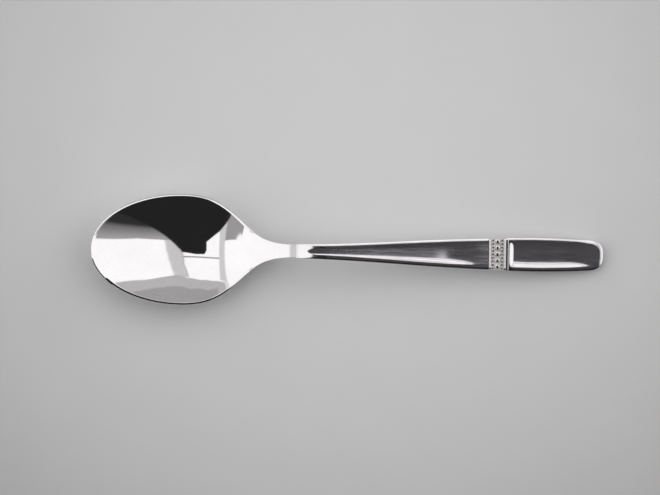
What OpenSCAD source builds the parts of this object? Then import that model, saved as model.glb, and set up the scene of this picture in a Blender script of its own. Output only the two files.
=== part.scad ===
// Coffee spoon with a beaded band across its handle, in millimetres.
// It lies on a table with the bowl's opening up. X runs from the bowl's tip to the handle's end.

/* [Bowl] */

// Length from the tip to the neck
bowl_l = 49; // [46:0.5:54]
// Widest width
bowl_w = 30; // [26:0.5:34]
// Distance from the tip to the widest place
bowl_widest = 24.5; // [22:0.5:27]
// Depth of the hollow below the rim at the widest place
bowl_depth = 6.4; // [5:0.1:8]
// Metal thickness at the bottom of the bowl
bowl_t = 1.2; // [1:0.05:1.8]
// Width of the rim seen from above
rim_w = 0.65; // [0.45:0.05:0.9]
// Height of the rim's outer edge
rim_h = 0.9; // [0.75:0.05:1]
// Rounding of the rim's edges
rim_r = 0.35; // [0.2:0.05:0.4]
// Climb of the rim for each millimetre toward the neck
rim_climb = -0.06; // [-0.08:0.005:0.02]
// Fall of the hollow for each millimetre toward the neck, at the widest place
hollow_lean = 0.09; // [0:0.01:0.12]
// Distance back from the neck to where the rim begins to rise
rise_back = 7.5; // [6:0.5:16]
// Distance back from the neck to the steepest place of the heel's outline
heel_back = 7.5; // [6:0.25:9]
// Width of the outline at that place
heel_w = 14.2; // [12.6:0.2:16]
// Depth of the flat that the bowl rests on
rest_flat = 0.05; // [0.02:0.01:0.1]

/* [Neck] */

// Length of the plain neck
neck_l = 6.4; // [5:0.2:9]
// Narrowest width
neck_w = 3.56; // [3.2:0.1:4.4]
// Thickness
neck_t = 2.6; // [2.2:0.1:3.2]
// Rounding of the back edges
neck_r = 0.8; // [0.5:0.05:1]

/* [Handle] */

// Length from the neck to the bead band
stem_l = 51.8; // [42:0.5:64]
// Length behind the bead band
end_l = 26.1; // [21:0.5:34]
// Widest width
end_w = 9.16; // [8.4:0.1:11]
// Distance from the bead band to the widest place
end_widest = 7.8; // [5:0.2:10]
// Narrowing from the widest place to the rounded end
end_narrow = 0.86; // [0.4:0.05:1.2]
// Length of the rounded end
corner_l = 4.5; // [3.5:0.25:6]
// Thickness
handle_t = 2.4; // [2:0.1:3]
// Height of the handle's crest above the table
crest_z = 11.2; // [8.4:0.1:12]
// Distance from the neck to that crest
crest_run = 5.2; // [4:0.2:10]
// Length over which the handle bends at that crest
crest_bow = 2.4; // [1.6:0.2:8]
// Length over which the handle levels out toward its end
level_run = 12; // [8:1:30]
// Width of the outer slope
bevel_w = 0.95; // [0.6:0.05:1]
// Fall of the outer slope
bevel_h = 0.2; // [0.1:0.05:0.5]
// Rounding of the back edges
back_r = 0.6; // [0.3:0.05:0.8]
// Swelling of the back
back_crown = 0.15; // [0.05:0.05:0.3]
// Step up from the neck on all sides
step_h = 0.06; // [0.02:0.01:0.12]
// Depth of the flat that the end rests on
foot_flat = 0.15; // [0.1:0.05:0.4]

/* [Panels] */

// Depth of the sunk panels
panel_d = 0.35; // [0.2:0.05:0.5]
// Distance from the outline to a panel's edge
panel_m = 1.15; // [1.1:0.05:1.4]
// Plain length between the neck and the stem's panel
panel_gap = 2.9; // [1.5:0.1:5]
// Length of the rounded nose of the stem's panel
panel_nose = 3; // [2:0.25:5]
// Share of that depth which the stem's panel has behind its nose
nose_share = 0.2; // [0.1:0.05:0.6]
// Length over which the stem's panel sinks to its full depth
panel_in = 40; // [10:0.5:44]
// Length over which the stem's panel runs out toward the bead band
stem_out = 12; // [6:0.5:16]
// Plain length between the stem's panel and the bead band
panel_land = 0.35; // [0.2:0.05:0.8]
// Length of the slope at the front of the end's panel
panel_slope = 1.6; // [1:0.1:3]
// Length over which the end's panel runs out toward the handle's end
end_out = 9; // [5:0.5:12]
// Width of the valley behind the bead band
valley_w = 0.6; // [0.4:0.05:1]
// Depth of the valley behind the bead band
valley_d = 0.35; // [0.1:0.05:0.5]

/* [Bead band] */

// Depth of the groove that takes the strip
groove_d = 0.75; // [0.6:0.05:0.9]
// Draft of the groove's cross walls
groove_draft = 0.05; // [0.02:0.01:0.1]
// Thickness of the strip under the beads
strip_t = 0.35; // [0.2:0.05:0.5]
// Width of each plain lip
lip_w = 0.65; // [0.4:0.05:0.9]
// Height of the lips above the strip's floor
lip_h = 0.42; // [0.2:0.02:0.6]
// Diameter of a large bead
large_d = 1.5; // [1.2:0.05:1.8]
// Diameter of a small bead
small_d = 0.86; // [0.7:0.02:1]
// Depth of a large bead's centre below the strip's floor
large_sink = 0.12; // [0.05:0.01:0.3]
// Depth of a small bead's centre below the strip's floor
small_sink = 0.05; // [0.02:0.01:0.15]
// Least gap between the beads of a row
bead_gap = 0.05; // [0.02:0.01:0.1]
// Gap between a row and what stands beside it
row_gap = 0.03; // [0.02:0.01:0.1]
// Width of the slope at the strip's two ends
strip_slope_w = 0.8; // [0.4:0.05:1]
// Fall of the slope at the strip's two ends
strip_slope_h = 0.6; // [0.3:0.05:0.65]

/* [Hidden] */

// Places along the length, from the bowl's tip
band_l = 2 * (groove_draft + lip_w + small_d) + large_d + 4 * row_gap;
heel_x = bowl_l - heel_back;
handle_x = bowl_l + neck_l;
panel_x = handle_x + panel_gap;
band_x = handle_x + stem_l;
band_mid = band_x + band_l / 2;
end_x = band_x + band_l;
spoon_l = end_x + end_l;
corner_x = spoon_l - corner_l;
widest_x = end_x + end_widest;
rise_x = bowl_l - rise_back;
crest_x = handle_x + crest_run;

// Slopes and bends of the outline
tip_bend = -bowl_w / 2 / pow(bowl_widest, 2);
heel_slope = -0.96;
neck_slope = 0.05;
neck_bend = 0.1;
stem_slope = 0.03;
stem_bend = -0.001;
corner_power = 3;
end_fall = 0.06;
rise_bend = 0.06;
end_bend = end_narrow / 2 / pow(corner_x - widest_x, 2);
corner_slope = -2 * end_bend * (corner_x - widest_x);

// Shape of the hollow and of the panels across the spoon
bowl_power = 2;
panel_power = 4;
bevel_power = 1.3;
bevel_share = 0.45;
bevel_least = 0.15;
panel_share = 0.55;
nose_least = 0.1;

// Numbers of steps
top_n = 10;
round_n = 4;
back_n = 8;
tip_n = 18;
heel_n = 16;
neck_n = 8;
land_n = 3;
nose_n = 5;
stem_n = 18;
slope_n = 4;
end_n = 9;
corner_n = 12;
bead_fn = 64;
lowest_n = 80;

// Curves
function clamp01(u) = min(1, max(0, u));
function smooth(u) = let (v = clamp01(u)) v * v * v * (10 + v * (6 * v - 15));
function steps(a, b, n) = [for (i = [1 : n]) a + (b - a) * i / n];
// Curve of a length d with a given value, slope and bend at each of its ends
function joint_curve(u, d, p0, m0, c0, p1, m1, c1) =
    let (u2 = u * u, u3 = u2 * u, u4 = u3 * u, u5 = u4 * u)
    p0 * (1 - 10 * u3 + 15 * u4 - 6 * u5)
    + d * m0 * (u - 6 * u3 + 8 * u4 - 3 * u5)
    + d * d * c0 * (u2 - 3 * u3 + 3 * u4 - u5) / 2
    + d * d * c1 * (u3 - 2 * u4 + u5) / 2
    + d * m1 * (7 * u4 - 4 * u3 - 3 * u5)
    + p1 * (10 * u3 - 15 * u4 + 6 * u5);

// Half width of the outline from the widest place of the bowl to the rounded end
function end_half(x) = end_w / 2 - end_bend * pow(x - widest_x, 2);
function heel_half(x) =
    let (d = heel_x - bowl_widest)
    joint_curve((x - bowl_widest) / d, d, bowl_w / 2, 0, tip_bend, heel_w / 2, heel_slope, 0);
function neck_half(x) =
    let (d = handle_x - heel_x)
    joint_curve((x - heel_x) / d, d, heel_w / 2, heel_slope, 0, neck_w / 2, neck_slope, neck_bend);
function stem_half(x) =
    let (a = neck_w / 2 + step_h, b = end_half(band_x))
    joint_curve((x - handle_x) / stem_l, stem_l, a, stem_slope, 0, b, stem_slope, stem_bend);
function plain_half(x) = x <= heel_x ? heel_half(x) : neck_half(x);
function handle_half(x) = x <= band_x ? stem_half(x) : end_half(x);

// Share of the way from the bowl's metal to the neck's
function neck_share(x) = smooth((x - bowl_widest) / (bowl_l - bowl_widest));
// Depth of the hollow, which falls a little toward the neck and is level again where the neck begins
hollow_bend = pow((bowl_l - bowl_widest) / (bowl_widest - rim_w), 2);
hollow_turn = hollow_lean * (bowl_l - bowl_widest) / bowl_depth;
hollow_3 = 4 + 3 * hollow_turn - 2 * hollow_bend;
hollow_4 = hollow_bend - 3 - 2 * hollow_turn;
function hollow(x) =
    let (s = min(1, (x - bowl_widest) / (bowl_l - bowl_widest)), t = max(0, s))
    bowl_depth * (1 + hollow_turn * s - t * t * (hollow_bend + t * (hollow_3 + t * hollow_4)));

// Height of the rim, of the neck's top and of the handle's top
function rim_line(x) = rim_climb * (x - bowl_widest);
function bowl_back(x) =
    let (p = max(0, bowl_widest - x) / (bowl_widest - rim_w))
    hollow(x) * (1 - p * p) + bowl_t + (neck_t - bowl_t) * neck_share(x) - rim_line(x);
rim_z = max([for (x = steps(rim_w, rise_x, lowest_n)) bowl_back(x)]) - rest_flat;
end_z = handle_t - foot_flat;
// The neck rises in one curve, and the handle bends over its crest, falls evenly and levels out at its end
crest_d = spoon_l - crest_x;
crest_far = norm([crest_d, crest_bow]);
level_share = level_run / 3;
fall_run = crest_far - crest_bow - level_share * crest_d / crest_far;
fall = (crest_z - end_z - level_share * end_fall) / fall_run;
level_lift = level_share * (fall * crest_d / crest_far - end_fall);
function rise_z(x) =
    let (d = crest_x - rise_x, rim = rim_z + rim_line(rise_x))
    joint_curve((x - rise_x) / d, d, rim, rim_climb, rise_bend, crest_z, 0, -fall / crest_bow);
function arch_z(x) =
    let (v = max(0, 1 - (spoon_l - x) / level_run))
    crest_z - fall * (norm([x - crest_x, crest_bow]) - crest_bow) + level_lift * pow(v, 3);
function spine_z(x) = x <= rise_x ? rim_z + rim_line(x) : x <= crest_x ? rise_z(x) : arch_z(x);
// The groove's floor is flat
floor_slope = (spine_z(end_x) - spine_z(band_x)) / band_l;
function floor_z(x) = spine_z(band_mid) + step_h - groove_d + floor_slope * (x - band_mid);
function valley(x) = valley_d * (1 - smooth((x - end_x) / valley_w));

function nose(x) = let (u = clamp01((x - panel_x) / panel_nose)) max(nose_least, sqrt(u * (2 - u)));
sink_x = end_x + valley_w;
stem_end = band_x - panel_land;
panel_end = spoon_l - panel_m;
function sink_in(x) =
    let (u = x - panel_x)
    nose_share * smooth(u / panel_nose) + (1 - nose_share) * smooth(u / panel_in);
function sunk(x) =
    x < band_x
        ? panel_d * sink_in(x) * smooth((stem_end - x) / stem_out)
        : panel_d * smooth((x - sink_x) / panel_slope) * smooth((panel_end - x) / end_out);

// A rib is half of a section, from the middle of the top round the edge to the middle of the back.
// It has its middle, its place on the outline, the way inward, a stretch for slanted outlines and its kind.
PLAIN = 0;
STRUCK = 1;
GROOVE = 2;
function rib_top(k, x) =
    k == PLAIN ? spine_z(x) : k == GROOVE ? floor_z(x) : spine_z(x) + step_h - (x < end_x ? 0 : valley(x));
// The handle thins from the neck to the bead band
function thin_share(x) = smooth((x - handle_x) / stem_l);
function rib_back(k, x) =
    k == PLAIN
        ? spine_z(x) - rim_h - (neck_t - back_crown - rim_h) * neck_share(x)
        : spine_z(x) - step_h - handle_t - (neck_t - handle_t) * (1 - thin_share(x)) + back_crown;
function rib_swell(k, x) =
    k == PLAIN
        ? hollow(x) + (bowl_t - rim_h) * (1 - neck_share(x)) + back_crown * neck_share(x)
        : back_crown;
// Widths of the edges, and a panel's distance from the outline
function bevel_start(x) = smooth((x - handle_x) / (panel_gap + panel_nose));
function bevel(x) =
    x < band_x ? max(bevel_least, min(bevel_w, bevel_share * stem_half(x)) * bevel_start(x)) : bevel_w;
function stem_margin(x) =
    let (half = stem_half(x))
    half - (half - min(panel_m, panel_share * half)) * nose(x);
function back_edge(x) = rim_r + (neck_r - rim_r) * neck_share(x);
// Depth of the hollow or panel, and the outer edge as shares of its width and fall
function rib_sunk(k, x) = k == PLAIN ? hollow(x) : k == STRUCK ? sunk(x) : 0;
function edge_out(k, u) = k == STRUCK ? u : sin(90 * u);
function edge_down(k, u) = k == STRUCK ? pow(u, bevel_power) : 1 - cos(90 * u);
function rib(r) =
    let (
        mid = r[0],
        at = r[1],
        inward = r[2],
        stretch = r[3],
        k = r[4],
        edge_w = stretch * (k == PLAIN ? rim_r : k == GROOVE ? groove_draft : bevel(at[0])),
        edge_h = k == PLAIN ? rim_r : k == GROOVE ? groove_draft : bevel_h * bevel(at[0]) / bevel_w,
        under_h = k == PLAIN ? back_edge(at[0]) : back_r,
        under = stretch * under_h,
        margin = k != STRUCK ? stretch * rim_w : at[0] < band_x ? stem_margin(at[0]) : panel_m,
        power = k == PLAIN ? bowl_power : panel_power,
        inner = at + margin * inward,
        below = at + under * inward
    )
    concat(
        [for (i = [0 : top_n])
            let (p = i / top_n, x = mid + (inner[0] - mid) * p)
            [x, inner[1] * p, rib_top(k, x) - rib_sunk(k, x) * (1 - pow(p, power))]],
        [for (i = [0 : round_n])
            let (q = at + edge_w * (1 - edge_out(k, i / round_n)) * inward)
            [q[0], q[1], rib_top(k, q[0]) - edge_h * edge_down(k, i / round_n)]],
        [for (i = [0 : round_n])
            let (a = 90 * i / round_n, q = at + under * (1 - cos(a)) * inward)
            [q[0], q[1], rib_back(k, q[0]) + under_h * (1 - sin(a))]],
        [for (i = [back_n - 1 : -1 : 0])
            let (p = i / back_n, x = mid + (below[0] - mid) * p)
            [x, below[1] * p, rib_back(k, x) - rib_swell(k, x) * (1 - p * p)]]
    );
rib_n = top_n + 1 + 2 * (round_n + 1) + back_n;

// Ribs across the spoon
nudge = 0.01;
function slant(x) = sqrt(1 + pow((plain_half(x + nudge) - plain_half(x - nudge)) / (2 * nudge), 2));
function plain_rib(x) = [x, [x, plain_half(x)], [0, -1], slant(x), PLAIN];
function struck_rib(x) = [x, [x, handle_half(x)], [0, -1], 1, STRUCK];
function groove_rib(x) = [x, [x, handle_half(x)], [0, -1], 1, GROOVE];
// Ribs that fan out round the bowl's tip
function tip_rib(a) =
    let (n = [bowl_w / 2 * cos(a), -bowl_widest * sin(a)])
    [bowl_widest, [bowl_widest * (1 - cos(a)), bowl_w / 2 * sin(a)], n / norm(n), 1, PLAIN];
// Ribs that fan out round the handle's end
function root(v) = sign(v) * pow(abs(v), 2 / corner_power);
function corner_at(a) =
    let (x = corner_l * root(cos(a)))
    [corner_x + x, (end_half(corner_x) + corner_slope * x) * root(sin(a))];
function corner_rib(a) =
    let (t = corner_at(a + nudge) - corner_at(a - nudge), n = [-t[1], t[0]])
    [corner_x, corner_at(a), n / norm(n), 1, STRUCK];

tip_ribs = [for (a = steps(0, 90, tip_n)) rib(tip_rib(a))];
heel_ribs = [for (x = steps(bowl_widest, bowl_l, heel_n)) rib(plain_rib(x))];
neck_ribs = [for (x = steps(bowl_l, handle_x, neck_n)) rib(plain_rib(x))];
stem_xs = concat(
    [handle_x],
    steps(handle_x, panel_x, land_n),
    [for (u = steps(0, 1, nose_n)) panel_x + panel_nose * u * u],
    steps(panel_x + panel_nose, stem_end, stem_n),
    [band_x]
);
end_xs = concat(
    [end_x],
    steps(end_x, sink_x, slope_n),
    steps(sink_x, sink_x + panel_slope, slope_n),
    steps(sink_x + panel_slope, corner_x, end_n)
);

bowl_ribs = concat([rib(tip_rib(0))], tip_ribs, heel_ribs);
throat_ribs = concat([rib(plain_rib(bowl_l))], neck_ribs);
handle_ribs = concat(
    [for (x = stem_xs) rib(struck_rib(x))],
    [for (x = [band_x + groove_draft, end_x - groove_draft]) rib(groove_rib(x))],
    [for (x = end_xs) rib(struck_rib(x))],
    [for (a = steps(90, 0, corner_n)) rib(corner_rib(a))]
);

// Solid through ribs and their mirror images.
// The first fan_a steps fan out from one middle, and so do the last fan_b steps.
module ribbed(ribs, fan_a, fan_b) {
    n = len(ribs);
    last = rib_n - 1;
    function place(k, j, s) =
        let (
            mid = j == 0 || j == last,
            one = mid || (fan_a > 0 && k == 0) || (fan_b > 0 && k == n - 1),
            row = mid ? min(max(k, fan_a), n - 1 - fan_b) : k
        )
        ((one ? 0 : s) * n + row) * rib_n + j;
    function apart(t) = t[0] != t[1] && t[1] != t[2] && t[2] != t[0];
    points = concat(
        [for (r = ribs) each r],
        [for (r = ribs) each [for (p = r) [p[0], -p[1], p[2]]]]
    );
    sides = [
        for (s = [0, 1])
        for (k = [0 : n - 2])
        for (j = [0 : last - 1])
        let (a = place(k, j, s), b = place(k + 1, j, s))
        let (c = place(k + 1, j + 1, s), d = place(k, j + 1, s))
        each s == 0 ? [[a, c, b], [a, d, c]] : [[a, b, c], [a, c, d]]
    ];
    front = concat(
        [place(0, last, 0)],
        [for (j = [last - 1 : -1 : 0]) place(0, j, 0)],
        [for (j = [1 : last - 1]) place(0, j, 1)]
    );
    rear = concat(
        [place(n - 1, last, 0)],
        [for (j = [last - 1 : -1 : 0]) place(n - 1, j, 1)],
        [for (j = [1 : last - 1]) place(n - 1, j, 0)]
    );
    polyhedron(
        points,
        concat([for (t = sides) if (apart(t)) t], fan_a > 0 ? [] : [front], fan_b > 0 ? [] : [rear])
    );
}

// Moves the spoon's middle to the origin
module centred() {
    translate([-spoon_l / 2, 0, 0]) children();
}

// What is cut away under the table's plane
module below_table() {
    translate([-spoon_l, -bowl_w, -bowl_w]) cube([3 * spoon_l, 2 * bowl_w, bowl_w]);
}

module bowl() {
    color("#c9ccd2")
        centred()
            difference() {
                ribbed(bowl_ribs, tip_n, 0);
                below_table();
            }
}

module neck() {
    color("#d9dbe0")
        centred()
            ribbed(throat_ribs, 0, 0);
}

module handle() {
    color("#9aa0aa")
        centred()
            difference() {
                ribbed(handle_ribs, 0, corner_n);
                below_table();
            }
}

// Bead band
floor_tilt = -atan(floor_slope);
strip_a = band_x + groove_draft;
strip_b = end_x - groove_draft;
strip_half = handle_half(strip_b);
strip_top = strip_t + lip_h;
// The slopes at the strip's two ends run on a little past the outline
strip_past = 0.25;
strip_side = strip_half + strip_past * strip_slope_w;
strip_low = strip_top - (1 + strip_past) * strip_slope_h;
function strip_at(x, up) = [x, floor_z(x) + up];

module bead_band() {
    color("#e3e0d6")
        centred()
            intersection() {
                rotate([90, 0, 0])
                    linear_extrude(height = 2 * end_w, center = true)
                        polygon([
                            strip_at(strip_a, 0),
                            strip_at(strip_b, 0),
                            strip_at(strip_b, strip_top),
                            strip_at(strip_b - lip_w, strip_top),
                            strip_at(strip_b - lip_w, strip_t),
                            strip_at(strip_a + lip_w, strip_t),
                            strip_at(strip_a + lip_w, strip_top),
                            strip_at(strip_a, strip_top)
                        ]);
                linear_extrude(height = crest_z + handle_t)
                    polygon([
                        [strip_a, -handle_half(strip_a)],
                        [strip_b, -handle_half(strip_b)],
                        [strip_b, handle_half(strip_b)],
                        [strip_a, handle_half(strip_a)]
                    ]);
                translate([band_mid, 0, floor_z(band_mid)])
                    rotate([0, floor_tilt, 0])
                        rotate([90, 0, 90])
                            linear_extrude(height = 2 * band_l, center = true)
                                polygon([
                                    [-strip_side, -strip_t],
                                    [strip_side, -strip_t],
                                    [strip_side, strip_low],
                                    [strip_half - strip_slope_w, strip_top],
                                    [strip_slope_w - strip_half, strip_top],
                                    [-strip_side, strip_low]
                                ]);
            }
}

// One bead, a ball cut off at the strip's floor
module bead(d, sink) {
    intersection() {
        translate([0, 0, -sink]) sphere(d = d, $fn = bead_fn);
        translate([-d, -d, 0]) cube([2 * d, 2 * d, d]);
    }
}

// A row of as many beads as the band's width takes
module bead_row(x, d, sink) {
    width = 2 * handle_half(strip_a);
    n = floor(width / (d + bead_gap));
    pitch = width / n;
    for (i = [0 : n - 1])
        translate([x, (i - (n - 1) / 2) * pitch, floor_z(x) + strip_t])
            rotate([0, floor_tilt, 0])
                bead(d, sink);
}

row_off = (large_d + small_d) / 2 + row_gap;

module large_beads() {
    color("#f0ede4") centred() bead_row(band_mid, large_d, large_sink);
}

module small_beads_front() {
    color("#dcd6c4") centred() bead_row(band_mid - row_off, small_d, small_sink);
}

module small_beads_rear() {
    color("#cfc8b4") centred() bead_row(band_mid + row_off, small_d, small_sink);
}

bowl();
neck();
handle();
bead_band();
large_beads();
small_beads_front();
small_beads_rear();
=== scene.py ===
import math

import bpy
import numpy as np
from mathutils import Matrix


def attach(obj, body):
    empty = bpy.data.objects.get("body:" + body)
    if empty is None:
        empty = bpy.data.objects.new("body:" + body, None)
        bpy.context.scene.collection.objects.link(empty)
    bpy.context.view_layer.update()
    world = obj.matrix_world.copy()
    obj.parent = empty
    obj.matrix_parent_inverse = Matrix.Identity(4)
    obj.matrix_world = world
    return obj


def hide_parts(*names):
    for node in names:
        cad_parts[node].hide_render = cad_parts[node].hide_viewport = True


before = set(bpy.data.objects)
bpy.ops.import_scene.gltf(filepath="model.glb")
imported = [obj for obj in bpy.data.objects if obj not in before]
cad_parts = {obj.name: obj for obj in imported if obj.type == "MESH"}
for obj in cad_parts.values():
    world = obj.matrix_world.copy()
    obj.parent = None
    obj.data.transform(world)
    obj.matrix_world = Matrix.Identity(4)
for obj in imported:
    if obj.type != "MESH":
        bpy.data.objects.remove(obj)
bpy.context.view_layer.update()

# Sizes in millimetres, from the bowl's tip, as in the construction
BOWL_L, BOWL_W, BOWL_WIDEST, BOWL_DEPTH, BOWL_T = 49.0, 30.0, 24.5, 6.4, 1.2
RIM_W, RIM_H, RIM_R, RIM_CLIMB, HOLLOW_LEAN, RISE_BACK = 0.65, 0.9, 0.35, -0.06, 0.09, 7.5
HEEL_BACK, HEEL_W, REST_FLAT = 7.5, 14.2, 0.05
NECK_L, NECK_W, NECK_T, NECK_R = 6.4, 3.56, 2.6, 0.8
STEM_L, END_L, END_W, END_WIDEST, END_NARROW, CORNER_L = 51.8, 26.1, 9.16, 7.8, 0.86, 4.5
HANDLE_T, CREST_Z, CREST_RUN, CREST_BOW = 2.4, 11.195, 5.2, 2.4
LEVEL_RUN, END_FALL, RISE_BEND = 12.0, 0.06, 0.06
BEVEL_W, BEVEL_H, BACK_R, BACK_CROWN, STEP_H, FOOT_FLAT = 0.95, 0.2, 0.6, 0.15, 0.06, 0.15
PANEL_D, PANEL_M, PANEL_GAP, PANEL_NOSE, PANEL_LAND, PANEL_SLOPE = 0.29, 1.15, 2.9, 3.0, 0.35, 1.6
NOSE_SHARE, PANEL_IN, STEM_OUT, END_OUT = 0.2, 40.0, 12.0, 9.0
VALLEY_W, VALLEY_D = 0.6, 0.35
GROOVE_D, GROOVE_DRAFT, STRIP_T, LIP_W, LIP_H = 0.75, 0.05, 0.35, 0.65, 0.42
LARGE_D, SMALL_D, LARGE_SINK, SMALL_SINK = 1.5, 0.86, 0.12, 0.05
BEAD_GAP, ROW_GAP, STRIP_SLOPE_W, STRIP_SLOPE_H = 0.05, 0.03, 0.8, 0.6
HEEL_SLOPE, NECK_SLOPE, NECK_BEND, STEM_SLOPE, STEM_BEND = -0.96, 0.05, 0.1, 0.03, -0.001
CORNER_POWER, PANEL_POWER, BEVEL_POWER = 3.0, 5, 3.0
BEVEL_SHARE, BEVEL_LEAST, PANEL_SHARE, NOSE_LEAST = 0.45, 0.15, 0.55, 0.1

BAND_L = 2 * (GROOVE_DRAFT + LIP_W + SMALL_D) + LARGE_D + 4 * ROW_GAP
HEEL_X = BOWL_L - HEEL_BACK
HANDLE_X = BOWL_L + NECK_L
PANEL_X = HANDLE_X + PANEL_GAP
NOSE_X = PANEL_X + PANEL_NOSE
BAND_X = HANDLE_X + STEM_L
BAND_MID = BAND_X + BAND_L / 2
END_X = BAND_X + BAND_L
SPOON_L = END_X + END_L
CORNER_X = SPOON_L - CORNER_L
WIDEST_X = END_X + END_WIDEST
RISE_X = BOWL_L - RISE_BACK
CREST_X = HANDLE_X + CREST_RUN
SINK_X = END_X + VALLEY_W
STEM_END = BAND_X - PANEL_LAND
PANEL_END = SPOON_L - PANEL_M
END_BEND = END_NARROW / 2 / (CORNER_X - WIDEST_X) ** 2
CORNER_SLOPE = -2 * END_BEND * (CORNER_X - WIDEST_X)
END_Z = HANDLE_T - FOOT_FLAT
STRIP_A, STRIP_B = BAND_X + GROOVE_DRAFT, END_X - GROOVE_DRAFT
ROW_OFF = (LARGE_D + SMALL_D) / 2 + ROW_GAP

# Finer forms that only the scene has
RIM_FALL, RIM_SOFT, RIM_SOFT_SLOPE = 0.54, 0.04, 0.7
RIM_ROUND, RIM_SHARPER, SHARPER_X, SHARPER_RUN = 2, 10, HEEL_X - 5.5, 6
NECK_DIP_L, NECK_DIP = 3.4, 0.02
WORN_L, WORN_D = 0.12, 0.05
VALLEY_FLAT, VALLEY_RISE = 0.7, 0.3
PANEL_ROUND, PANEL_PAST = 0.05, 1.5
EDGE_ROUND, EDGE_POWER = 0.15, 8
END_SOFTER, SOFTER_X, SOFTER_RUN = 1.6, CORNER_X - 4, 6
LIP_POWER, LARGE_DOME, SMALL_DOME, DOME_ROUND = 2.5, 6, 9, 0.7

# Fineness of the meshes
BOWL_STEPS = np.concatenate([np.linspace(0, 0.94, 46), np.linspace(0.94, 1, 17)[1:]])
PANEL_STEPS = np.concatenate([np.linspace(0, 0.8, 25), np.linspace(0.8, 1, 13)[1:]])
EDGE_STEPS = np.sin(np.radians(np.linspace(0, 90, 15)))[1:]
HOLLOW_STEPS, RIM_STEPS, LAND_STEPS = len(BOWL_STEPS), 20, 6
TURN_STEPS, PLAIN_BACK_STEPS, STRUCK_BACK_STEPS = 9, 40, 18
TIP_RIBS, BOWL_RIBS, NECK_RIBS = 150, 150, 40
WORN_RIBS, FRONT_RIBS, NOSE_RIBS, STEM_RIBS = 7, 14, 44, 130
GROOVE_RIBS, SINK_RIBS, END_RIBS, CORNER_RIBS = 12, 60, 50, 90
LIP_STEPS, STRIP_STEPS, SLOPE_STEPS = 13, 9, 14
DOME_RINGS, DOME_SIDES = 20, 28
SLOPE_STEP, TANGENT_STEP = 0.01, 0.0002

# Steps of a handle rib that are brushed: on the panel's floor, and out to the rim where the panel is wide
BRUSHED_STEPS, BRUSHED_EDGE = 30, 47
WIDE_X, SINK_SHARE, LIT_WALL = NOSE_X + 2, 0.7, 0.07

# Shading of the bowl and neck that departs from their meshes
STEEPEST = math.radians(41)
HEEL_FLATTER, FLATTER_X, FLATTER_RUN = 0.8, HEEL_X - 1, 2.5
RIM_LEAN, RIM_LEAN_X, RIM_LEAN_IN = 0.25, HEEL_X - 13.5, 8
RIM_LEAN_END, RIM_LEAN_OUT = HEEL_X + 8.5, 3
TIP_FROM, TIP_TO = HOLLOW_STEPS - 3, HOLLOW_STEPS + 7
TIP_WAY, TIP_X, TIP_OUT, TIP_Y, TIP_Y_OUT = np.array([0.42, 0.0, 0.907]), 6, 3, 3.9, 0.8
EDGE_WAY, EDGE_OUT, EDGE_Y, EDGE_Y_IN = np.array([0.0, 0.0, 1.0]), 0.3, -1, 2.5

# Shading of the handle that departs from its mesh, as a lean toward the neck in degrees
LAND_LEAN, LAND_LEAN_RUN, LAND_EASE, LAND_EASE_RUN = 4, 4.5, 1, 5
STEM_LEAN, END_LEAN = -0.3, 3.3
GLOW_LEAN, GLOW_X, GLOW_L, GLOW_Y, GLOW_OUT = 1.5, STEM_END - STEM_OUT, 2.4, 2.6, 4
WALL_TILT, WALL_BLEND = 0.08, 0.05


# Curves of the construction
def smooth(u):
    v = np.clip(u, 0.0, 1.0)
    return v**3 * (10 + v * (6 * v - 15))


def ramp(x, start, run):
    """Climbs from 0 at the start to 1 at the end of the run. A run below zero climbs the other way."""
    return smooth((x - start) / run)


def joint_curve(u, d, p0, m0, c0, p1, m1, c1):
    u2, u3, u4, u5 = u**2, u**3, u**4, u**5
    return (
        p0 * (1 - 10 * u3 + 15 * u4 - 6 * u5)
        + d * m0 * (u - 6 * u3 + 8 * u4 - 3 * u5)
        + d * d * c0 * (u2 - 3 * u3 + 3 * u4 - u5) / 2
        + d * d * c1 * (u3 - 2 * u4 + u5) / 2
        + d * m1 * (7 * u4 - 4 * u3 - 3 * u5)
        + p1 * (10 * u3 - 15 * u4 + 6 * u5)
    )


def end_half(x):
    return END_W / 2 - END_BEND * (x - WIDEST_X) ** 2


def plain_half(x):
    d, e = HEEL_X - BOWL_WIDEST, HANDLE_X - HEEL_X
    tip_bend = -BOWL_W / 2 / BOWL_WIDEST**2
    heel = joint_curve((x - BOWL_WIDEST) / d, d, BOWL_W / 2, 0, tip_bend, HEEL_W / 2, HEEL_SLOPE, 0)
    neck = joint_curve((x - HEEL_X) / e, e, HEEL_W / 2, HEEL_SLOPE, 0, NECK_W / 2, NECK_SLOPE, NECK_BEND)
    return np.where(x <= HEEL_X, heel, neck)


def stem_half(x):
    a, b = NECK_W / 2 + STEP_H, end_half(BAND_X)
    return joint_curve((x - HANDLE_X) / STEM_L, STEM_L, a, STEM_SLOPE, 0, b, STEM_SLOPE, STEM_BEND)


def handle_half(x):
    return np.where(x <= BAND_X, stem_half(x), end_half(x))


def neck_share(x):
    return ramp(x, BOWL_WIDEST, BOWL_L - BOWL_WIDEST)


def neck_dip(x):
    """The neck's top rises a little less steeply before the step."""
    return NECK_DIP * ramp(x, HANDLE_X - NECK_DIP_L, NECK_DIP_L)


def hollow(x):
    bend = ((BOWL_L - BOWL_WIDEST) / (BOWL_WIDEST - RIM_W)) ** 2
    turn = HOLLOW_LEAN * (BOWL_L - BOWL_WIDEST) / BOWL_DEPTH
    s = np.minimum(1, (x - BOWL_WIDEST) / (BOWL_L - BOWL_WIDEST))
    t = np.maximum(0, s)
    dip = t * t * (bend + t * (4 + 3 * turn - 2 * bend + t * (bend - 3 - 2 * turn)))
    return BOWL_DEPTH * (1 + turn * s - dip)


def rim_line(x):
    return RIM_CLIMB * (x - BOWL_WIDEST)


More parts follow.
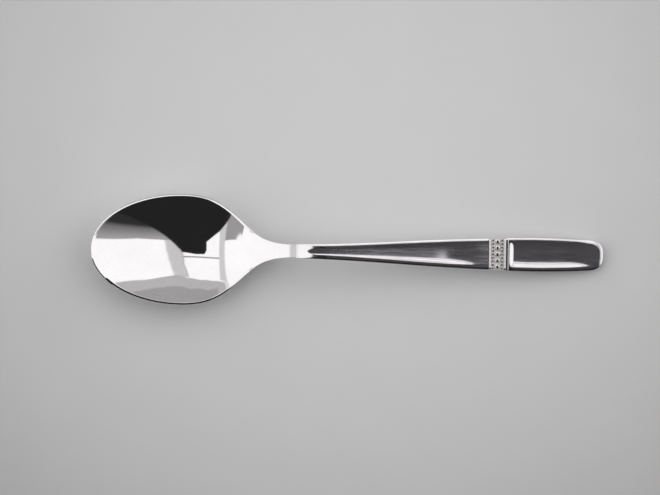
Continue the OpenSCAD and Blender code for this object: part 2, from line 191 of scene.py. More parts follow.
def bowl_back(x):
    p = np.maximum(0, BOWL_WIDEST - x) / (BOWL_WIDEST - RIM_W)
    return hollow(x) * (1 - p * p) + BOWL_T + (NECK_T - BOWL_T) * neck_share(x) - rim_line(x)


RIM_Z = float(bowl_back(np.linspace(RIM_W, RISE_X, 81)[1:]).max()) - REST_FLAT

CREST_D = SPOON_L - CREST_X
CREST_FAR = math.hypot(CREST_D, CREST_BOW)
LEVEL_SHARE = LEVEL_RUN / 3
FALL = CREST_Z - END_Z - LEVEL_SHARE * END_FALL
FALL /= CREST_FAR - CREST_BOW - LEVEL_SHARE * CREST_D / CREST_FAR
LEVEL_LIFT = LEVEL_SHARE * (FALL * CREST_D / CREST_FAR - END_FALL)


def spine_z(x):
    x = np.asarray(x, dtype=float)
    d = CREST_X - RISE_X
    u = np.clip((x - RISE_X) / d, 0, 1)
    start = RIM_Z + rim_line(RISE_X)
    rise = joint_curve(u, d, start, RIM_CLIMB, RISE_BEND, CREST_Z, 0, -FALL / CREST_BOW)
    v = np.maximum(0, 1 - (SPOON_L - x) / LEVEL_RUN)
    arch = CREST_Z - FALL * (np.hypot(x - CREST_X, CREST_BOW) - CREST_BOW) + LEVEL_LIFT * v**3
    return np.where(x <= RISE_X, RIM_Z + rim_line(x), np.where(x <= CREST_X, rise, arch))


FLOOR_SLOPE = float((spine_z(END_X) - spine_z(BAND_X)) / BAND_L)


def floor_z(x):
    return spine_z(BAND_MID) + STEP_H - GROOVE_D + FLOOR_SLOPE * (x - BAND_MID)


def sunk(x):
    stem = NOSE_SHARE * ramp(x, PANEL_X, PANEL_NOSE) + (1 - NOSE_SHARE) * ramp(x, PANEL_X, PANEL_IN)
    stem = stem * ramp(x, STEM_END, -STEM_OUT)
    end = ramp(x, SINK_X, PANEL_SLOPE) * ramp(x, PANEL_END, -END_OUT)
    return PANEL_D * np.where(x < BAND_X, stem, end)


def bevel(x):
    start = ramp(x, HANDLE_X, PANEL_GAP + PANEL_NOSE)
    stem = np.maximum(BEVEL_LEAST, np.minimum(BEVEL_W, BEVEL_SHARE * stem_half(x)) * start)
    return np.where(x < BAND_X, stem, BEVEL_W)


def panel_margin(x):
    half = stem_half(x)
    u = np.clip((x - PANEL_X) / PANEL_NOSE, 0, 1)
    nose = np.maximum(NOSE_LEAST, np.sqrt(u * (2 - u)))
    stem = half - (half - np.minimum(PANEL_M, PANEL_SHARE * half)) * nose
    return np.where(x < BAND_X, stem, PANEL_M)


# A rib is half of a section, from the middle of the top round the edge to the middle of the back
def along(mid, edge, p):
    return np.stack([mid[:, None] + (edge[:, :1] - mid[:, None]) * p, edge[:, 1:] * p], -1)


def from_edge(at, inward, d):
    return at[:, None, :] + d[:, :, None] * inward[:, None, :]


def rounded_fall(fall, blend):
    return (fall + np.sqrt(fall**2 + blend**2)) / 2


def with_height(q, z):
    return np.concatenate([q, z[:, :, None]], -1)


def back_ribs(mid, at, inward, stretch, back_of, edge, swell_of, count):
    a = np.radians(np.linspace(0, 90, TURN_STEPS))[None, :]
    under = (stretch * edge)[:, None]
    q = from_edge(at, inward, under * (1 - np.cos(a)))
    turn = with_height(q, back_of(q[..., 0]) + edge[:, None] * (1 - np.sin(a)))
    p = np.linspace(1, 0, count)[None, 1:]
    q = along(mid, at + under * inward, p)
    flat = with_height(q, back_of(q[..., 0]) - swell_of(q[..., 0]) * (1 - p**2))
    return np.concatenate([turn, flat], 1)


def plain_ribs(mid, at, inward, stretch):
    """Ribs of the bowl and neck: the hollow, the rim and the back."""
    ax = at[:, 0]
    inner = at + (stretch * RIM_W)[:, None] * inward
    reach = np.hypot(inner[:, 0] - mid, inner[:, 1])[:, None]
    soft = RIM_SOFT * np.clip(2 * hollow(ax)[:, None] / reach / RIM_SOFT_SLOPE, 0, 1)

    def top_of(x, p):
        return spine_z(x) - neck_dip(x) - rounded_fall(hollow(x) * (1 - p**2), soft)

    def back_of(x):
        return spine_z(x) - RIM_H - (NECK_T - BACK_CROWN - RIM_H) * neck_share(x)

    def swell_of(x):
        return hollow(x) + (BOWL_T - RIM_H) * (1 - neck_share(x)) + BACK_CROWN * neck_share(x)

    p = BOWL_STEPS[None, :]
    q = along(mid, inner, p)
    bowl = with_height(q, top_of(q[..., 0], p))
    turn = np.radians(np.linspace(0, 90, RIM_STEPS + 1))[1:]
    d = RIM_W * (1 - np.sin(turn))[None, :]
    power = RIM_ROUND + RIM_SHARPER * ramp(ax, SHARPER_X, SHARPER_RUN)[:, None]
    drop = RIM_FALL * (1 - np.sqrt(1 - np.sin(turn)[None, :] ** power))
    p = 1 + stretch[:, None] * (RIM_W - d) / reach
    q = from_edge(at, inward, stretch[:, None] * d)
    rim = with_height(q, top_of(q[..., 0], p) - drop)
    edge = RIM_R + (NECK_R - RIM_R) * neck_share(ax)
    back = back_ribs(mid, at, inward, stretch, back_of, edge, swell_of, PLAIN_BACK_STEPS)
    return np.concatenate([bowl, rim, back], 1)


def struck_ribs(mid, at, inward, groove):
    """Ribs of the handle: the panel or the groove's floor, the land, the bevelled edge and the back."""
    ax = at[:, 0]
    wide = np.where(groove, GROOVE_DRAFT, bevel(ax))[:, None]
    margin = np.where(groove, RIM_W, panel_margin(ax))[:, None]
    high = np.where(groove, GROOVE_DRAFT, BEVEL_H * bevel(ax) / BEVEL_W)[:, None]
    # The step up from the neck has a worn edge
    worn = (WORN_D * (1 - np.clip((ax - HANDLE_X) / WORN_L, 0, 1)) ** 2)[:, None]
    in_groove = groove[:, None]

    def top_of(x):
        valley = VALLEY_D * (1 - ramp(x, END_X + VALLEY_FLAT * VALLEY_W, VALLEY_RISE * VALLEY_W))
        land = spine_z(x) + STEP_H - np.where(x < END_X, 0, valley) - worn
        return np.where(in_groove, floor_z(x), land)

    def panel_fall(x, p):
        depth = np.where(in_groove, 0, sunk(x))
        return rounded_fall(depth * (1 - p**PANEL_POWER), PANEL_ROUND * depth / PANEL_D)

    def back_of(x):
        thick = HANDLE_T + (NECK_T - HANDLE_T) * (1 - ramp(x, HANDLE_X, STEM_L))
        return spine_z(x) - STEP_H - thick + BACK_CROWN + worn

    inner = at + margin * inward
    reach = np.maximum(1e-6, np.hypot(inner[:, 0] - mid, inner[:, 1]))[:, None]
    p = PANEL_STEPS[None, :]
    q = along(mid, inner, p)
    panel = with_height(q, top_of(q[..., 0]) - panel_fall(q[..., 0], p))
    s = np.linspace(0, 1, LAND_STEPS + 1)[None, 1:]
    t = EDGE_STEPS[None, :]
    d = np.concatenate([margin + (wide - margin) * s, wide * (1 - t)], 1)
    power = BEVEL_POWER - END_SOFTER * ramp(ax, SOFTER_X, SOFTER_RUN)[:, None]
    down = t**power * (1 - EDGE_ROUND) + EDGE_ROUND * (1 - np.sqrt(1 - t**EDGE_POWER))
    drop = np.concatenate([np.zeros_like(margin * s), high * down], 1)
    p = np.minimum(PANEL_PAST, 1 + (margin - d) / reach)
    q = from_edge(at, inward, d)
    edge = with_height(q, top_of(q[..., 0]) - panel_fall(q[..., 0], p) - drop)
    one = np.ones_like(ax)
    back = back_ribs(mid, at, inward, one, back_of, BACK_R * one, lambda x: BACK_CROWN, STRUCK_BACK_STEPS)
    return np.concatenate([panel, edge, back], 1)


# Meshes
def across(x, half):
    at = np.stack([x, half], -1)
    return x, at, np.broadcast_to(np.array([0.0, -1.0]), at.shape)


def unit(ways):
    return ways / np.linalg.norm(ways, axis=1)[:, None]


def weld(points, faces):
    _, first, same = np.unique(np.round(points, 5), axis=0, return_index=True, return_inverse=True)
    same = same.reshape(-1)
    kept = []
    for f in faces:
        g = [same[i] for i in f]
        kept.append([v for i, v in enumerate(g) if v != g[i - 1]])
    return points[first], kept


def loft(ribs):
    """Points, faces, and each face's place as (step along, step round), for ribs and their mirror images."""
    n, m = ribs.shape[:2]
    points = np.concatenate([ribs.reshape(-1, 3), (ribs * [1, -1, 1]).reshape(-1, 3)])
    k, j = np.meshgrid(np.arange(n - 1), np.arange(m - 1), indexing="ij")
    a = (k * m + j).ravel()
    quads = np.stack([a, a + m, a + m + 1, a + 1], -1)
    faces = np.concatenate([quads, quads[:, ::-1] + n * m])
    where = np.stack([k.ravel(), j.ravel()], -1)
    points, faces = weld(points, faces.tolist())
    where = np.concatenate([where, where])
    good = [i for i, f in enumerate(faces) if len(f) > 2]
    return points, [faces[i] for i in good], where[good]


def face_normals(points, faces):
    out = np.zeros((len(faces), 3))
    for i, f in enumerate(faces):
        p = points[f]
        out[i] = np.cross(p, np.roll(p, -1, 0)).sum(0) / 2
    return out


def corner_normals(points, faces, group):
    """Normals of all face corners, smooth inside each group and flat in the groups below zero."""
    flat = face_normals(points, faces)
    done = np.zeros((len(faces), 4, 3))
    for g in np.unique(group):
        mine = np.flatnonzero(group == g)
        if g < 0:
            for i in mine:
                done[i] = flat[i]
            continue
        total = np.zeros_like(points)
        for i in mine:
            for v in faces[i]:
                total[v] += flat[i]
        for i in mine:
            done[i, : len(faces[i])] = total[faces[i]]
    out = np.array([done[i, c] for i, f in enumerate(faces) for c in range(len(f))])
    return out / np.maximum(1e-12, np.linalg.norm(out, axis=1))[:, None]


def corner_places(points, faces, where):
    """For all face corners: the place along the spoon, the place across it, and the step round the rib."""
    spots = np.concatenate([points[f] for f in faces])
    return spots[:, 0], spots[:, 1], np.repeat(where[:, 1], [len(f) for f in faces])


def section_cap(ribs, back):
    """The outline of a whole section as one closed loop of points."""
    loop = np.concatenate([ribs, (ribs * [1, -1, 1])[-2:0:-1]])
    return loop[::-1] if back else loop


def mesh_piece(name, points, faces, normals, shades, materials):
    """Makes an object in metres, with the given corner normals or else with sharp edges by angle."""
    used = sorted({v for f in faces for v in f})
    index = {v: i for i, v in enumerate(used)}
    mesh = bpy.data.meshes.new(name)
    place = (points[used] - [SPOON_L / 2, 0, 0]) * 0.001
    mesh.from_pydata(place.tolist(), [], [[index[v] for v in f] for f in faces])
    for material in materials:
        mesh.materials.append(material)
    mesh.polygons.foreach_set("material_index", np.asarray(shades, dtype=np.int32))
    mesh.polygons.foreach_set("use_smooth", np.ones(len(faces), dtype=bool))
    mesh.update()
    if normals is None:
        mesh.set_sharp_from_angle(angle=math.radians(50))
    else:
        mesh.normals_split_custom_set(normals.tolist())
    piece = bpy.data.objects.new(name, mesh)
    bpy.context.scene.collection.objects.link(piece)
    return piece


def add_caps(points, faces, normals, caps):
    """Closes a piece with flat loops of points."""
    for loop in caps:
        start = len(points)
        points = np.concatenate([points, loop])
        faces = faces + [list(range(start, start + len(loop)))]
        n = np.cross(loop, np.roll(loop, -1, 0)).sum(0)
        normals = np.concatenate([normals, np.tile(n / np.linalg.norm(n), (len(loop), 1))])
    return points, faces, normals


def rest_on_table(ribs):
    ribs[..., 2] = np.maximum(ribs[..., 2], 0)
    return ribs


# Materials
def node_material(name):
    material = bpy.data.materials.new(name)
    material.use_nodes = True
    return material, material.node_tree


def joined(tree, kind, inputs=None, **settings):
    """Adds a node with its settings, and sets or links its inputs."""
    node = tree.nodes.new(kind)
    for key, value in settings.items():
        setattr(node, key, value)
    for key, value in (inputs or {}).items():
        if isinstance(value, bpy.types.NodeSocket):
            tree.links.new(value, node.inputs[key])
        else:
            node.inputs[key].default_value = value
    return node


def noise(tree, scale, detail):
    where = tree.nodes.get("where") or joined(tree, "ShaderNodeTexCoord", name="where")
    turned = joined(tree, "ShaderNodeMapping", {"Vector": where.outputs["Object"], "Scale": scale})
    grain = joined(
        tree, "ShaderNodeTexNoise",
        {"Vector": turned.outputs[0], "Scale": 1.0, "Detail": detail, "Roughness": 0.55},
    )
    return grain.outputs["Fac"]


def ranged(tree, value, low, high, to_low, to_high, kind="LINEAR"):
    return joined(
        tree, "ShaderNodeMapRange",
        {"Value": value, "From Min": low, "From Max": high, "To Min": to_low, "To Max": to_high},
        interpolation_type=kind,
    ).outputs["Result"]


# Sockets of a mix node that take and give colours
MIX_FIRST, MIX_SECOND, MIX_RESULT = 6, 7, 2


def mixed(tree, factor, first, second):
    return joined(
        tree, "ShaderNodeMix", {"Factor": factor, MIX_FIRST: first, MIX_SECOND: second}, data_type="RGBA",
    ).outputs[MIX_RESULT]


def steel(name, dark, light, rough, grain, bump, metallic=1.0, depth=0.00002):
    """Metal whose shade and gloss vary with a grain, which is noise with a scale for each axis, per metre."""
    material, tree = node_material(name)
    shader = tree.nodes["Principled BSDF"]
    shader.inputs["Metallic"].default_value = metallic
    fine = noise(tree, grain, 4.0)
    cloud = noise(tree, (90, 90, 90), 2.0)
    both = joined(tree, "ShaderNodeMath", {0: fine, 1: cloud}, operation="MULTIPLY").outputs[0]
    level = ranged(tree, both, 0.12, 0.4, 0.0, 1.0)
    tree.links.new(mixed(tree, level, (*dark, 1), (*light, 1)), shader.inputs["Base Color"])
    tree.links.new(ranged(tree, fine, 0.3, 0.7, rough[0], rough[1]), shader.inputs["Roughness"])
    relief = joined(tree, "ShaderNodeBump", {"Strength": bump, "Distance": depth, "Height": fine})
    tree.links.new(relief.outputs["Normal"], shader.inputs["Normal"])
    return material


BRUSHING = {"rough": (0.09, 0.15), "grain": (45, 4600, 1500), "bump": 0.16, "metallic": 0.93}
polished = steel(
    "polished_steel", (0.74, 0.745, 0.76), (0.82, 0.825, 0.835),
    rough=(0.03, 0.07), grain=(400, 5200, 5200), bump=0.02,
)
struck = steel(
    "struck_steel", (0.72, 0.725, 0.74), (0.82, 0.82, 0.83),
    rough=(0.10, 0.16), grain=(160, 4200, 4200), bump=0.03,
)
# The bluish tint of the brushed steel is a painted reflection, for the panel floor where it mirrors the dark
# part of the studio light; the copy for the lit walls has no tint
brushed = steel("brushed_steel", (0.685, 0.68, 0.745), (0.865, 0.86, 0.925), **BRUSHING)
brushed_lit_wall = steel("brushed_lit_wall_steel", (0.70, 0.69, 0.70), (0.85, 0.84, 0.85), **BRUSHING)
ornament = steel(
    "ornament_steel", (0.78, 0.77, 0.77), (0.90, 0.89, 0.89),
    rough=(0.08, 0.14), grain=(1500, 1500, 1500), bump=0.05,
)
frosted = steel(
    "frosted_steel", (0.66, 0.64, 0.64), (0.84, 0.82, 0.82),
    rough=(0.42, 0.56), grain=(2600, 2600, 2600), bump=0.2, metallic=0.8, depth=0.00003,
)

# Bowl and neck, made as one surface and then parted
a = np.radians(np.linspace(0, 90, TIP_RIBS))
tip_at = np.stack([BOWL_WIDEST * (1 - np.cos(a)), BOWL_W / 2 * np.sin(a)], -1)
tip_in = unit(np.stack([BOWL_W / 2 * np.cos(a), -BOWL_WIDEST * np.sin(a)], -1))
tip = plain_ribs(np.full_like(a, BOWL_WIDEST), tip_at, tip_in, np.ones_like(a))
bowl_x = np.linspace(BOWL_WIDEST, BOWL_L, BOWL_RIBS)[1:]
neck_x = np.linspace(BOWL_L, HANDLE_X, NECK_RIBS)[1:]
x = np.concatenate([bowl_x, neck_x])
slope = (plain_half(x + SLOPE_STEP) - plain_half(x - SLOPE_STEP)) / (2 * SLOPE_STEP)
heel = plain_ribs(*across(x, plain_half(x)), np.sqrt(1 + slope**2))
plain = rest_on_table(np.concatenate([tip, heel]))
points, faces, where = loft(plain)
normals = corner_normals(points, faces, np.zeros(len(faces)))
spot_x, spot_y, step = corner_places(points, faces, where)
on_top = step < HOLLOW_STEPS + RIM_STEPS
# The hollow mirrors the light only once, as walls no steeper than this do
tilt = np.hypot(normals[:, 0], normals[:, 1])
steep = (step < HOLLOW_STEPS) & (tilt > math.sin(STEEPEST))
normals[steep, :2] *= (math.sin(STEEPEST) / tilt[steep])[:, None]
normals[steep, 2] = math.cos(STEEPEST)
# The heel's sides turn outward less than the hollow's
normals[:, 1] *= 1 - HEEL_FLATTER * on_top * ramp(spot_x, FLATTER_X, FLATTER_RUN)
# The rim's shading climbs toward the neck earlier than the rim
on_rim = on_top & (step >= HOLLOW_STEPS - 1)
climb = ramp(spot_x, RIM_LEAN_X, RIM_LEAN_IN) * ramp(spot_x, RIM_LEAN_END, -RIM_LEAN_OUT)
normals[:, 0] -= RIM_LEAN * on_rim * climb
# At the tip the rim's inner part mirrors the same light as the hollow beside it
at_tip = (step >= TIP_FROM) & (step < TIP_TO)
tip_share = at_tip * ramp(spot_x, TIP_X, -TIP_OUT) * ramp(spot_y, TIP_Y, -TIP_Y_OUT)
normals += tip_share[:, None] * (TIP_WAY - normals)
# On the near side of the tip a dark line follows the edge
at_edge = on_top & (step >= TIP_TO)
edge_share = at_edge * ramp(spot_x, TIP_X, -EDGE_OUT) * ramp(spot_y, EDGE_Y, -EDGE_Y_IN)
normals += edge_share[:, None] * (EDGE_WAY - normals)
normals = unit(normals)
starts = np.cumsum([0] + [len(f) for f in faces])
seam = len(tip) + len(bowl_x) - 1


def part_of(chosen, caps, name):
    some = [faces[i] for i in chosen]
    loops = np.concatenate([np.arange(starts[i], starts[i + 1]) for i in chosen])
    p, f, n = add_caps(points, some, normals[loops], caps)
    return mesh_piece(name, p, f, n, np.zeros(len(f)), [polished])


bowl = part_of(np.flatnonzero(where[:, 0] < seam), [section_cap(plain[seam], True)], "bowl_polished")
neck = part_of(
    np.flatnonzero(where[:, 0] >= seam),
    [section_cap(plain[seam], False), section_cap(plain[-1], True)],
    "neck_polished",
)

# Handle with its two panels, and the groove that takes the bead band
stem_x = np.concatenate([
    HANDLE_X + np.linspace(0, WORN_L, WORN_RIBS),
    np.linspace(HANDLE_X + WORN_L, PANEL_X, FRONT_RIBS)[1:],
    PANEL_X + PANEL_NOSE * np.linspace(0, 1, NOSE_RIBS)[1:] ** 2,
    np.linspace(NOSE_X, BAND_X, STEM_RIBS)[1:],
])
groove_x = np.linspace(STRIP_A, STRIP_B, GROOVE_RIBS)
end_x = np.concatenate([
    np.linspace(END_X, SINK_X + PANEL_SLOPE, SINK_RIBS),
    np.linspace(SINK_X + PANEL_SLOPE, CORNER_X, END_RIBS)[1:],
])
x = np.concatenate([stem_x, groove_x, end_x])
body = struck_ribs(*across(x, handle_half(x)), (x > BAND_X) & (x < END_X))


def corner_at(a):
    cx = CORNER_L * np.sign(np.cos(a)) * np.abs(np.cos(a)) ** (2 / CORNER_POWER)
    cy = np.sign(np.sin(a)) * np.abs(np.sin(a)) ** (2 / CORNER_POWER)
    return np.stack([CORNER_X + cx, (end_half(CORNER_X) + CORNER_SLOPE * cx) * cy], -1)


a = np.radians(90 * (1 - np.linspace(0, 1, CORNER_RIBS)[1:]))
tangent = corner_at(a + TANGENT_STEP) - corner_at(a - TANGENT_STEP)
corner_in = unit(np.stack([-tangent[:, 1], tangent[:, 0]], -1))
corner = struck_ribs(np.full_like(a, CORNER_X), corner_at(a), corner_in, np.zeros_like(a, dtype=bool))
ribs = rest_on_table(np.concatenate([body, corner]))
points, faces, where = loft(ribs)
first_wall, last_wall = len(stem_x) - 1, len(stem_x) + len(groove_x) - 1
top_steps = len(PANEL_STEPS) + LAND_STEPS + len(EDGE_STEPS)
in_band = (where[:, 0] >= first_wall) & (where[:, 0] <= last_wall) & (where[:, 1] < top_steps)
normals = corner_normals(points, faces, np.where(in_band, -1, 0))
spot_x, spot_y, step = corner_places(points, faces, where)
# The top's shading leans back toward the neck a little, as on a handle with a lower crest
land_lean = LAND_LEAN * ramp(spot_x, HANDLE_X, LAND_LEAN_RUN)
land_lean = land_lean - LAND_EASE * ramp(spot_x, HANDLE_X + LAND_LEAN_RUN, LAND_EASE_RUN)
# A shallow hollow near the panel's run out catches a soft glow
glow = np.exp(-(((spot_x - GLOW_X) / GLOW_L) ** 2)) * ramp(spot_y, GLOW_Y, -GLOW_OUT)
panel_lean = STEM_LEAN + END_LEAN * ramp(spot_x, BAND_X, BAND_L) - GLOW_LEAN * glow
in_panel = (step < BRUSHED_STEPS) & (spot_x > PANEL_X)
flat_share = in_panel * np.clip((WALL_TILT - normals[:, 1]) / WALL_BLEND, 0, 1)
lean = np.radians((land_lean + (panel_lean - land_lean) * flat_share) * (normals[:, 2] > 0))
c, s = np.cos(lean), np.sin(lean)
nx, ny, nz = normals.T
normals = np.stack([c * nx - s * nz, ny, s * nx + c * nz], -1)
# The brushed faces: the panel's lit walls take an untinted copy of the brushed steel, and the rest a copy
# whose bluish tint is a painted reflection
rib_x = np.concatenate([x, np.full(len(corner), CORNER_X)])
panel_rib = (rib_x > PANEL_X) & (rib_x < STEM_END) | (rib_x > SINK_X + SINK_SHARE * PANEL_SLOPE)
wide_rib = panel_rib & (rib_x > WIDE_X)
brushed_to = np.where(wide_rib, BRUSHED_EDGE, np.where(panel_rib, BRUSHED_STEPS, 0))
flat = face_normals(points, faces)
lit_wall = flat[:, 1] > LIT_WALL * np.linalg.norm(flat, axis=1)
shades = np.where(where[:, 1] < brushed_to[where[:, 0]], np.where(lit_wall, 2, 1), 0)
points, faces, normals = add_caps(points, faces, normals, [section_cap(ribs[0], False)])
handle = mesh_piece(
    "handle_struck", points, faces, normals, np.append(shades, 0), [struck, brushed, brushed_lit_wall],
)

# Bead band
turn = (1 - np.cos(np.linspace(0, np.pi, LIP_STEPS))) / 2
lip = LIP_H * np.sqrt(np.maximum(0, 1 - np.abs(2 * turn - 1) ** LIP_POWER))
between = np.linspace(STRIP_A + LIP_W, STRIP_B - LIP_W, STRIP_STEPS)[1:-1]
strip_x = np.concatenate([
    [STRIP_A], STRIP_A + LIP_W * turn, between, STRIP_B - LIP_W + LIP_W * turn, [STRIP_B],
])
strip_up = np.concatenate([[0], STRIP_T + lip, np.full(len(between), STRIP_T), STRIP_T + lip, [0]])
half = float(end_half(STRIP_B))
out = np.sin(np.linspace(0, np.pi / 2, SLOPE_STEPS))
side = np.concatenate([-half + STRIP_SLOPE_W * (1 - out[::-1]), [0], half - STRIP_SLOPE_W * (1 - out)])
fade = np.clip((np.abs(side) - (half - STRIP_SLOPE_W)) / STRIP_SLOPE_W, 0, 1)
limit = STRIP_T + LIP_H - STRIP_SLOPE_H * (1 - np.sqrt(np.maximum(0, 1 - fade**2)))
up = np.minimum(strip_up[None, :], limit[:, None])
grid = np.stack([
    np.broadcast_to(strip_x, up.shape),
    side[:, None] * np.minimum(handle_half(strip_x) / half, 1.0),
    floor_z(strip_x)[None, :] + up,
], -1)
n, m = up.shape
k, j = np.meshgrid(np.arange(n - 1), np.arange(m - 1), indexing="ij")
a = (k * m + j).ravel()
strip_faces = np.stack([a, a + 1, a + m + 1, a + m], -1)[:, ::-1].tolist()
strip_faces += [[k * m, (k + 1) * m, (k + 2) * m - 1, (k + 1) * m - 1][::-1] for k in range(n - 1)]
strip_faces += [list(range(m)), list(range(n * m - m, n * m))[::-1]]
on_floor = (strip_x[j.ravel()] >= STRIP_A + LIP_W) & (strip_x[j.ravel() + 1] <= STRIP_B - LIP_W)
strip_shades = np.append(on_floor, np.zeros(len(strip_faces) - len(on_floor)))
strip = mesh_piece("band_strip", grid.reshape(-1, 3), strip_faces, None, strip_shades, [ornament, frosted])


def bead_row(name, x, d, sink, dome_power):
    """A row of struck beads, each a dome with a small foot."""
    width = 2 * float(handle_half(STRIP_A))
    count = int(width // (d + BEAD_GAP))
    pitch = width / count
    lift = np.linspace(math.asin(2 * sink / d), np.pi / 2, DOME_RINGS)
    t = np.linspace(0, 2 * np.pi, DOME_SIDES, endpoint=False)
    r = d / 2 * np.cos(lift[:-1])
    h = (d / 2 - sink) * (1 - (r / r[0]) ** dome_power) ** DOME_ROUND
    rings = np.stack([r[:, None] * np.cos(t), r[:, None] * np.sin(t), h[:, None] + 0 * t], -1)
    dome = np.concatenate([rings.reshape(-1, 3), [[0, 0, d / 2 - sink]]])
    tilt = -math.atan(FLOOR_SLOPE)
    c, s = math.cos(tilt), math.sin(tilt)
    dome = dome @ np.array([[c, 0, s], [0, 1, 0], [-s, 0, c]]).T
    top = len(r) * DOME_SIDES
    shape = []
    for low in range(0, top - DOME_SIDES, DOME_SIDES):
        high = low + DOME_SIDES
        for q in range(DOME_SIDES):
            w = (q + 1) % DOME_SIDES
            shape.append([low + q, low + w, high + w, high + q])
    last = top - DOME_SIDES
    shape += [[last + q, last + (q + 1) % DOME_SIDES, top] for q in range(DOME_SIDES)]
    shape.append(list(range(DOME_SIDES))[::-1])
    pts, fcs = [], []
    for i in range(count):
        place = np.array([x, (i - (count - 1) / 2) * pitch, float(floor_z(x)) + STRIP_T])
        fcs += [[v + len(dome) * i for v in f] for f in shape]
        pts.append(dome + place)
    return mesh_piece(name, np.concatenate(pts), fcs, None, np.zeros(len(fcs)), [ornament])


large = bead_row("large_bead_row", BAND_MID, LARGE_D, LARGE_SINK, LARGE_DOME)
front = bead_row("small_bead_row_front", BAND_MID - ROW_OFF, SMALL_D, SMALL_SINK, SMALL_DOME)
rear = bead_row("small_bead_row_rear", BAND_MID + ROW_OFF, SMALL_D, SMALL_SINK, SMALL_DOME)

for piece, node, slot in (
    (bowl, "bowl", "polished_steel"),
    (neck, "neck", "polished_steel"),
    (handle, "handle", "brushed_steel"),
    (strip, "bead_band", "ornament_steel"),
    (large, "large_beads", "ornament_steel"),
    (front, "small_beads_front", "ornament_steel"),
    (rear, "small_beads_rear", "ornament_steel"),
):
    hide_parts(node)
    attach(piece, "root")

# Floor in metres, with a painted pool of light: its colour is paler near the middle and fades to a painted
# grey shade further out
FLOOR_HALF, LIGHT_POOL_Y, LIGHT_POOL_SQUEEZE, LIGHT_POOL_REACH = 6, 0.035, 0.887, 0.02
FLOOR_PAINTED_LIGHT, FLOOR_PAINTED_SHADE = (0.825, 0.845, 0.845, 1), (0.477, 0.489, 0.489, 1)
mesh = bpy.data.meshes.new("floor")
corners = [(u * FLOOR_HALF, v * FLOOR_HALF, 0) for u, v in ((-1, -1), (1, -1), (1, 1), (-1, 1))]
mesh.from_pydata(corners, [], [(0, 1, 2, 3)])
table = bpy.data.objects.new("floor", mesh)
bpy.context.scene.collection.objects.link(table)
material, tree = node_material("floor_painted_light_pool")
shader = tree.nodes["Principled BSDF"]
shader.inputs["Roughness"].default_value = 0.6
shader.inputs["Specular IOR Level"].default_value = 0.2
mottle = ranged(tree, noise(tree, (60, 60, 60), 4.0), 0.3, 0.7, -0.02, 0.02)
# The painted pool of light is centred a little toward +Y and squeezed along X
place = joined(tree, "ShaderNodeMapping", {
    "Vector": tree.nodes["where"].outputs["Object"],
    "Location": (0, -LIGHT_POOL_Y, 0),
    "Scale": (LIGHT_POOL_SQUEEZE, 1, 0),
}).outputs[0]
# The distance from the pool's middle sets the painted falloff from light to shade, with a little random
# mottle added
far = joined(tree, "ShaderNodeVectorMath", {0: place, 1: place}, operation="DOT_PRODUCT").outputs["Value"]
fade = ranged(tree, far, 0.0, LIGHT_POOL_REACH, 0.0, 1.0)
level = joined(tree, "ShaderNodeMath", {0: fade, 1: mottle}, operation="ADD").outputs[0]
tree.links.new(mixed(tree, level, FLOOR_PAINTED_LIGHT, FLOOR_PAINTED_SHADE), shader.inputs["Base Color"])
mesh.materials.append(material)

# Studio light, given by the way it comes from: degrees out of the upright planes, toward +X and toward +Y
world = bpy.data.worlds.new("studio")
bpy.context.scene.world = world
world.use_nodes = True
sky = world.node_tree
sky.nodes.clear()
way = joined(sky, "ShaderNodeTexCoord").outputs["Generated"]
parts = joined(sky, "ShaderNodeSeparateXYZ", {0: way})


def math_node(operation, *values):
    return joined(sky, "ShaderNodeMath", dict(enumerate(values)), operation=operation).outputs[0]


toward_x = math_node("DEGREES", math_node("ARCSINE", parts.outputs[0]))
toward_y = math_node("DEGREES", math_node("ARCSINE", parts.outputs[1]))


def beyond(a, b, c, soft=0.7):
    """Mask of the ways for which a * toward_x + b * toward_y is more than c."""
    value = math_node("MULTIPLY_ADD", toward_x, a, math_node("MULTIPLY", toward_y, b))
    return ranged(sky, value, c - soft, c + soft, 0.0, 1.0, "SMOOTHSTEP")


def every(first, *rest):
    for mask in rest:
        first = math_node("MULTIPLY", first, mask)
    return first


def either(first, *rest):
    for mask in rest:
        first = math_node("MAXIMUM", first, mask)
    return first


WHITE, DARK, BEHIND, TINT = 1.24, 0.02, 0.55, 0.965


def grey(level):
    return level, level * TINT, level * TINT, 1


top_edge = either(beyond(0.4, 1, 53.8), beyond(0, 1, 56.3), beyond(-0.2, 1, 60.6))
top_card = either(every(beyond(1, 0, 8), beyond(0, 1, 44)), every(beyond(1, 0, -36.4), top_edge))
far_edge = either(
    every(beyond(0.86, 1, 69.4), beyond(0.4, 1, 64.8)), beyond(-0.663, 1, 79.2), beyond(0, 1, 68.6),
)
far_card = every(far_edge, beyond(1, 0, -29.4))
cross_bar = every(beyond(0.085, 1, 13.4), beyond(-0.085, -1, -16.0), beyond(1, 0, -31.4))
upright_bar = every(beyond(-1, 0, 31), beyond(1, 0, -37), beyond(0, -1, -53))
under_card = beyond(-0.725, -1, -54.9)
divider_side = every(either(beyond(1, 0.13, 16.2), beyond(1, 0.31, 21)), under_card)
divider = every(either(beyond(1, 0.13, 17.2), beyond(1, 0.31, 22)), under_card)
right_edge = either(
    beyond(1, 0, 25.9), beyond(1, 0.142, 25.95), beyond(1, 0.258, 27.9), beyond(1, 0.324, 30.05),
)
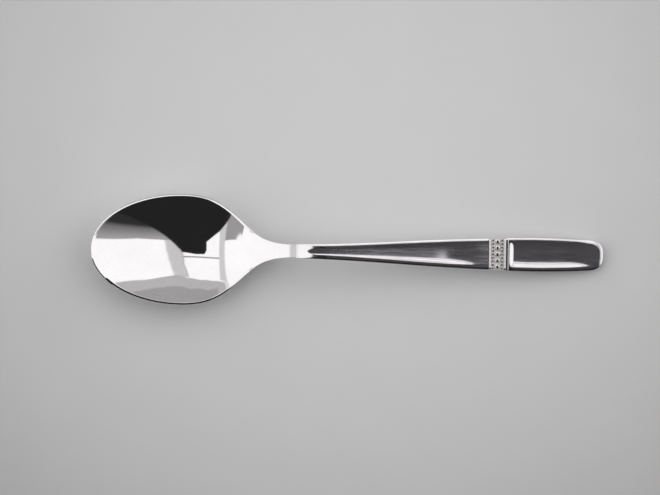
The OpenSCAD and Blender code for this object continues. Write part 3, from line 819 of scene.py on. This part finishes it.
right_box = every(right_edge, beyond(0, -1, -44.3), beyond(-0.7, -1, -62.6))
low_right = beyond(1, 0.31, 14)
backdrop = every(low_right, either(beyond(0.08, -1, 17.8), beyond(0.6, -1, 36.8)))
backdrop_fade = every(low_right, beyond(0.33, -1, 34, 8))
backdrop_foot = every(low_right, beyond(0.33, -1, 42, 3))
near_card = every(beyond(1, 0, -44.5, 0.2), beyond(-1, 0, 37), beyond(0.674, -1, -4.7))
flag_block = every(beyond(1, 0, -13.5), beyond(0, -1, -9), beyond(-0.3, -1, -9.7), beyond(2.4, -1, -34))
flag_slant = every(beyond(1.22, -1, -0.3), beyond(2.05, -1, -25.7), beyond(-1, 0, 5))
flag = every(either(flag_block, flag_slant), beyond(-1, -0.31, -17.8))

# Each form lies over the ones before it
light = grey(WHITE)
for mask, level in (
    (top_card, 0.57),
    (far_card, 0.42),
    (cross_bar, 0.34),
    (upright_bar, 0.76),
    (divider_side, 0.56),
    (divider, 0.72),
    (right_box, WHITE),
    (backdrop, 0.44),
    (backdrop_fade, 0.2),
    (backdrop_foot, 0.035),
    (near_card, 0.4),
    (flag, DARK),
):
    light = mixed(sky, mask, light, grey(level))
seen = joined(sky, "ShaderNodeLightPath").outputs["Is Camera Ray"]
light = mixed(sky, seen, light, (BEHIND, BEHIND, BEHIND, 1))
ground = joined(sky, "ShaderNodeBackground", {"Color": light, "Strength": 1.0})
joined(sky, "ShaderNodeOutputWorld", {"Surface": ground.outputs[0]})

# Camera, straight down, with a view of this width at this height above the floor
CAMERA_Z, VIEW_W, VIEW_Z, SENSOR = 2.8, 0.17777, 0.0065, 36
lens = bpy.data.cameras.new("camera")
lens.sensor_width = SENSOR
lens.lens = SENSOR * (CAMERA_Z - VIEW_Z) / VIEW_W
lens.clip_start = 0.01
camera = bpy.data.objects.new("camera", lens)
camera.location = (-0.0046, 0.0011, CAMERA_Z)
camera.rotation_euler = (0, 0, math.radians(0.82))
bpy.context.scene.collection.objects.link(camera)
bpy.context.scene.camera = camera
bpy.context.scene.view_settings.view_transform = "Standard"
